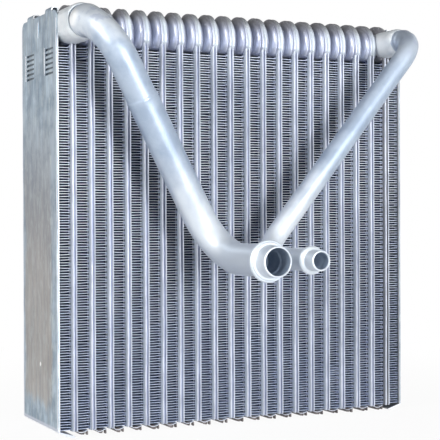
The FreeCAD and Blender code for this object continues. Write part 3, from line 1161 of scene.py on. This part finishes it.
def flap_skin(skin, inner, outward):
    """Bottom flange that slopes down under the outer fin, in pale metal as painted light, with a cut wedge
    on the left one's front.
    """
    slope = [
        (inner + outward * 0.4, 0.6), (inner + outward * 0.3, -0.1), (inner - outward * 8.2, -2.75),
        (inner - outward * 9.0, -2.8),
    ]
    fold_strip(skin, slope, 0.2, DEPTH - 0.4, 0.36, 12, ON_EDGE_HIGHLIGHT if outward < 0 else ON_TRIM_LIGHT)
    if outward < 0:
        wedge = [
            (inner - 0.7, 0.5), (inner + 5.0, -1.2), (inner + 9.2, -2.7), (inner + 9.2, -3.15),
            (inner + 7.4, -3.15), (inner + 3.5, -2.2), (inner - 0.5, -0.3),
        ]
        skin.add([[(px, u + (inner - px) * 0.28, pz) for px, pz in wedge] for u in (-0.5, 0.9)], ON_PLATE)


def build_plate(name, outer_fin_x, outward, seed):
    inner = outer_fin_x + outward * GAP / 2
    middle = inner + outward * SHEET / 2
    skin = Skin()
    sheet_skin(skin, middle, outward, seed)
    for start in TAB_STARTS:
        tab_skin(skin, middle, outward, start)
    for start, end in SLOT_SPANS:
        slot_skin(skin, inner, outward, start, end)
    rim_skin(skin, inner, outward, seed)
    rib_skin(skin, inner + outward * SHEET, outward)
    flap_skin(skin, inner, outward)
    piece(name + "_shape", skin, PLATE_METALS, [name], 40)


for number in range(1, TUBES + 1):
    build_tube(number)
for number in range(1, TUBES + 2):
    build_fin(number)
build_suction_pipe()
build_liquid_pipe()
build_suction_nozzle()
build_liquid_nozzle()
build_plate("left_end_plate", tube_x(1) - PITCH / 2, -1, 11.0)
build_plate("right_end_plate", tube_x(TUBES) + PITCH / 2, 1, 23.0)


# Stage, in metres and watts


def plain_material(name, color, roughness):
    material = bpy.data.materials.new(name)
    material.use_nodes = True
    shader = material.node_tree.nodes["Principled BSDF"]
    shader.inputs["Base Color"].default_value = (*color, 1.0)
    shader.inputs["Roughness"].default_value = roughness
    return material


def ray_mask(tree, first, *others):
    """1 for the named kinds of rays."""
    path = tree.nodes.new("ShaderNodeLightPath")
    mask = path.outputs[first]
    for kind in others:
        mask = larger(tree, mask, path.outputs[kind])
    return mask


def mix_shaders(tree, factor, usual, seen, target):
    mixer = tree.nodes.new("ShaderNodeMixShader")
    tree.links.new(factor, mixer.inputs[0])
    tree.links.new(usual.outputs[0], mixer.inputs[1])
    tree.links.new(seen.outputs[0], mixer.inputs[2])
    tree.links.new(mixer.outputs[0], target)


def floor_material():
    """White paint that fades into the white surround, and keeps the shadow near the object."""
    material = plain_material("floor_paint", (0.95, 0.95, 0.95), 0.9)
    tree = material.node_tree
    white = tree.nodes.new("ShaderNodeEmission")
    white.inputs["Strength"].default_value = 1.0
    where = tree.nodes.new("ShaderNodeTexCoord")
    far = ramp(tree, distance_to(tree, where.outputs["Object"], (0.0, 0.0, 0.0)), 0.1, 0.5)
    shown = times(tree, ray_mask(tree, "Is Camera Ray", "Is Glossy Ray"), scaled(tree, far, 0.06, 0.94))
    surface = tree.nodes["Material Output"].inputs["Surface"]
    mix_shaders(tree, shown, tree.nodes["Principled BSDF"], white, surface)
    return material


def stage_panel(name, corners, material):
    """Flat panel of the studio around the object."""
    mesh = bpy.data.meshes.new(name)
    mesh.from_pydata(corners, [], [(0, 1, 2, 3)])
    mesh.materials.append(material)
    panel = bpy.data.objects.new(name, mesh)
    bpy.context.scene.collection.objects.link(panel)
    return panel


def build_floor():
    reach = 4.0
    corners = [(-reach, -reach, 0), (reach, -reach, 0), (reach, reach, 0), (-reach, reach, 0)]
    stage_panel("floor", corners, floor_material()).location.z = -0.0004


def build_card(name, corners):
    """Dark studio card out of view, for the metal to mirror."""
    paint = plain_material(name + "_paint", (0.16, 0.155, 0.15), 0.8)
    stage_panel(name, corners, paint).visible_camera = False


def soft_light(name, position, target, width, height, power, color=(1, 1, 1)):
    data = bpy.data.lights.new(name, "AREA")
    data.shape = "RECTANGLE"
    data.size = width
    data.size_y = height
    data.energy = power
    data.color = color
    light = bpy.data.objects.new(name, data)
    light.location = position
    direction = Vector(target) - Vector(position)
    light.rotation_euler = direction.to_track_quat("-Z", "Y").to_euler()
    bpy.context.scene.collection.objects.link(light)


def background(tree, color, strength):
    node = tree.nodes.new("ShaderNodeBackground")
    node.inputs["Color"].default_value = (*color, 1.0)
    node.inputs["Strength"].default_value = strength
    return node


def build_world():
    """White to look at and in mirrors, and a faint cool light on everything else."""
    world = bpy.data.worlds.new("studio")
    bpy.context.scene.world = world
    world.use_nodes = True
    tree = world.node_tree
    for node in list(tree.nodes):
        tree.nodes.remove(node)
    around = background(tree, (0.86, 0.91, 1.0), 0.14)
    seen = background(tree, (1.0, 1.0, 1.0), 1.0)
    output = tree.nodes.new("ShaderNodeOutputWorld")
    shown = ray_mask(tree, "Is Camera Ray", "Is Glossy Ray", "Is Transmission Ray")
    mix_shaders(tree, shown, around, seen, output.inputs["Surface"])


CAMERA_PLACE = (-0.36066, -0.69780, 0.13740)
CAMERA_ANGLES = (25.814, -0.502, -0.231)
CAMERA_LENS = 101.96


def build_camera():
    yaw, pitch, roll = (math.radians(a) for a in CAMERA_ANGLES)
    forward = Vector((math.sin(yaw) * math.cos(pitch), math.cos(yaw) * math.cos(pitch), math.sin(pitch)))
    level = Vector((math.cos(yaw), -math.sin(yaw), 0))
    above = level.cross(forward)
    right = level * math.cos(roll) + above * math.sin(roll)
    up = above * math.cos(roll) - level * math.sin(roll)
    data = bpy.data.cameras.new("camera")
    data.lens = CAMERA_LENS
    data.sensor_width = 36.0
    data.clip_start = 0.01
    camera = bpy.data.objects.new("camera", data)
    turn = Matrix((right, up, -forward)).transposed()
    camera.matrix_world = Matrix.Translation(Vector(CAMERA_PLACE)) @ turn.to_4x4()
    bpy.context.scene.collection.objects.link(camera)
    bpy.context.scene.camera = camera


CORE_MIDDLE = (0.0, 0.03, 0.14)

build_floor()
soft_light("front_lamp", (0.04, -1.42, 0.18), CORE_MIDDLE, 0.28, 0.28, 15)
soft_light("right_box", (0.6, -1.25, 0.12), CORE_MIDDLE, 0.8, 0.3, 1.5, (0.97, 0.98, 1.0))
soft_light("left_box", (-1.35, -0.5, 0.75), (0.0, 0.0, 0.2), 0.5, 0.6, 13)
soft_light("rear_box", (0.5, 1.5, 0.45), CORE_MIDDLE, 0.7, 0.6, 10)
build_world()
build_card("ceiling_card", [(-0.9, -0.25, 1.15), (0.9, -0.25, 1.15), (0.9, 1.1, 0.95), (-0.9, 1.1, 0.95)])
build_card("rear_card", [(-0.9, 1.1, 0.95), (0.9, 1.1, 0.95), (0.9, 1.25, 0.56), (-0.9, 1.25, 0.56)])
build_camera()
bpy.context.scene.view_settings.view_transform = "Standard"
